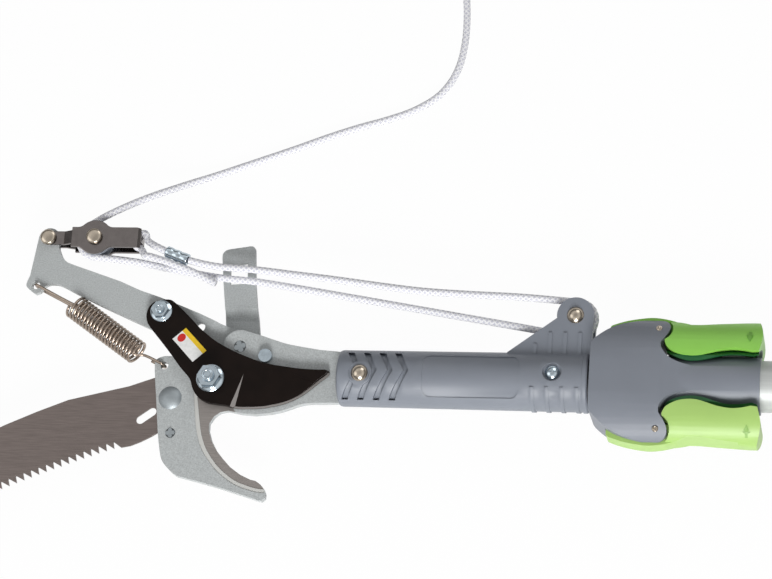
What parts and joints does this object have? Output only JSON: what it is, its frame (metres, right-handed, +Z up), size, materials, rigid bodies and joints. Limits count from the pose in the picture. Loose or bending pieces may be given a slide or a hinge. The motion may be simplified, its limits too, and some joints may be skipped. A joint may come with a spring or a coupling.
{
  "type": "tree pruner pole",
  "caption": "Pole pruner head with hooked bypass blade, rope and pulley drive, return spring, bolt-on saw, moulded socket, latch connector and aluminium pole.",
  "frame": {"origin": "ground point under the middle of the bounding box of all nodes but the free rope, with the tool lying flat", "axes": "+X along the pole, from the head to the end cap; +Y across the pole, towards the pulleys; +Z up, towards the side of the head that the blade is on"},
  "size_m": [1.726, 0.5058, 0.042],
  "materials": {
    "plate_paint": "satin silver-grey paint",
    "saw_steel": "ground steel",
    "zinc": "bright zinc plating",
    "nickel": "warm nickel plating",
    "blade_coating": "black low-friction coating",
    "spring_wire": "plated spring wire",
    "dark_nickel": "dark nickel plating",
    "grey_plastic": "satin moulded plastic",
    "rope": "braided synthetic rope",
    "black_plastic": "matt",
    "upper_green": "satin",
    "lower_green": "satin",
    "pole_aluminium": "satin anodised"
  },
  "bodies": {
    "head_and_pole": {"frame_plate": "plate_paint", "saw_blade": "saw_steel", "saw_bolt": "zinc", "saw_washer": "zinc", "saw_wing_nut": "zinc", "saw_stop_rivet": "nickel", "blade_pivot_bolt": "zinc", "blade_pivot_nut": "zinc", "lever_pin": "nickel", "lever_spacer": "zinc", "guide_spacer": "zinc", "stop_pin": "zinc", "rope_guide": "plate_paint", "head_socket": "grey_plastic", "socket_rivet": "nickel", "socket_screw": "zinc", "head_axle": "nickel", "coupling_spigot": "black_plastic", "connector_housing": "grey_plastic", "latch_pins": "nickel", "pole_tube": "pole_aluminium", "pole_screw": "zinc", "pole_grip": "black_plastic", "pole_end_cap": "black_plastic"},
    "blade": {"cutting_blade": "blade_coating", "link_bolt": "zinc", "link_washer": "zinc", "link_nut": "zinc"},
    "lever": {"lever_arm": "plate_paint"},
    "block": {"block_strap": "dark_nickel", "block_rivet": "nickel", "block_axle": "nickel", "rope_ferrule": "zinc", "rope_becket": "rope", "rope_block_wrap": "rope", "rope_lead": "rope", "rope_fall": "rope", "rope_hank": "rope", "hank_tie": "rope", "rope_knot": "rope"},
    "block_pulley": {"block_sheave": "grey_plastic"},
    "head_pulley": {"head_sheave": "grey_plastic"},
    "rope": {"rope_span_upper": "rope", "rope_span_lower": "rope", "rope_head_wrap": "rope"},
    "spring": {"return_spring": "spring_wire"},
    "spring_top": {"spring_hook": "spring_wire"},
    "upper_latch": {"latch_lever_upper": "upper_green", "latch_spring_upper": "spring_wire"},
    "lower_latch": {"latch_lever_lower": "lower_green", "latch_spring_lower": "spring_wire"}
  },
  "joints": [
    {"name": "lever_swing", "type": "hinge", "parent": "head_and_pole", "child": "lever", "pos_m": [-0.55501, 0.0466, 0.021], "axis": [0, 0, -1], "range_deg": [0, 80], "stiffness_Nm_per_rad": 2.5, "springref_deg": -8.59},
    {"name": "blade_cut", "type": "hinge", "parent": "head_and_pole", "child": "blade", "pos_m": [-0.57101, 0.0236, 0.021], "axis": [0, 0, -1], "range_deg": [0, 64.1]},
    {"name": "block_swivel", "type": "hinge", "parent": "lever", "child": "block", "pos_m": [-0.68804, 0.11763, 0.021], "axis": [0, 0, 1], "range_deg": [0, 44.1]},
    {"name": "block_pulley_spin", "type": "hinge", "parent": "block", "child": "block_pulley", "pos_m": [-0.65654, 0.11763, 0.021], "axis": [0, 0, 1], "continuous": true},
    {"name": "head_pulley_spin", "type": "hinge", "parent": "head_and_pole", "child": "head_pulley", "pos_m": [-0.34151, 0.0689, 0.021], "axis": [0, 0, 1], "continuous": true},
    {"name": "rope_swing", "type": "hinge", "parent": "head_and_pole", "child": "rope", "pos_m": [-0.34151, 0.0689, 0.021], "axis": [0, 0, -1], "range_deg": [0, 27.3], "deforming": ["rope_span_upper", "rope_span_lower"]},
    {"name": "spring_swing", "type": "hinge", "parent": "head_and_pole", "child": "spring", "pos_m": [-0.60301, 0.0331, 0.021], "axis": [0, 0, -1], "range_deg": [0, 81.7]},
    {"name": "spring_stretch", "type": "slide", "parent": "spring", "child": "spring_top", "axis": [-0.8648, 0.5021, 0], "range_m": [0, 0.0641], "deforming": ["return_spring", "spring_hook"]},
    {"name": "upper_latch_press", "type": "hinge", "parent": "head_and_pole", "child": "upper_latch", "pos_m": [-0.28871, 0.0596, 0.021], "axis": [0, 0, -1], "range_deg": [0, 3.5], "stiffness_Nm_per_rad": 3, "springref_deg": -2.86, "deforming": ["latch_spring_upper"]},
    {"name": "lower_latch_press", "type": "hinge", "parent": "head_and_pole", "child": "lower_latch", "pos_m": [-0.28871, -0.0044, 0.021], "axis": [0, 0, 1], "range_deg": [0, 3.5], "stiffness_Nm_per_rad": 3, "springref_deg": -2.86, "deforming": ["latch_spring_lower"]}
  ],
  "couplings": [
    {"joint": "blade_cut", "follows": "lever_swing", "ratio": 0.8},
    {"joint": "block_swivel", "follows": "lever_swing", "ratio": 0.55},
    {"joint": "rope_swing", "follows": "lever_swing", "ratio": 0.34},
    {"joint": "spring_swing", "follows": "lever_swing", "ratio": 1.02},
    {"joint": "spring_stretch", "follows": "lever_swing", "m_per_rad": 0.04584}
  ]
}
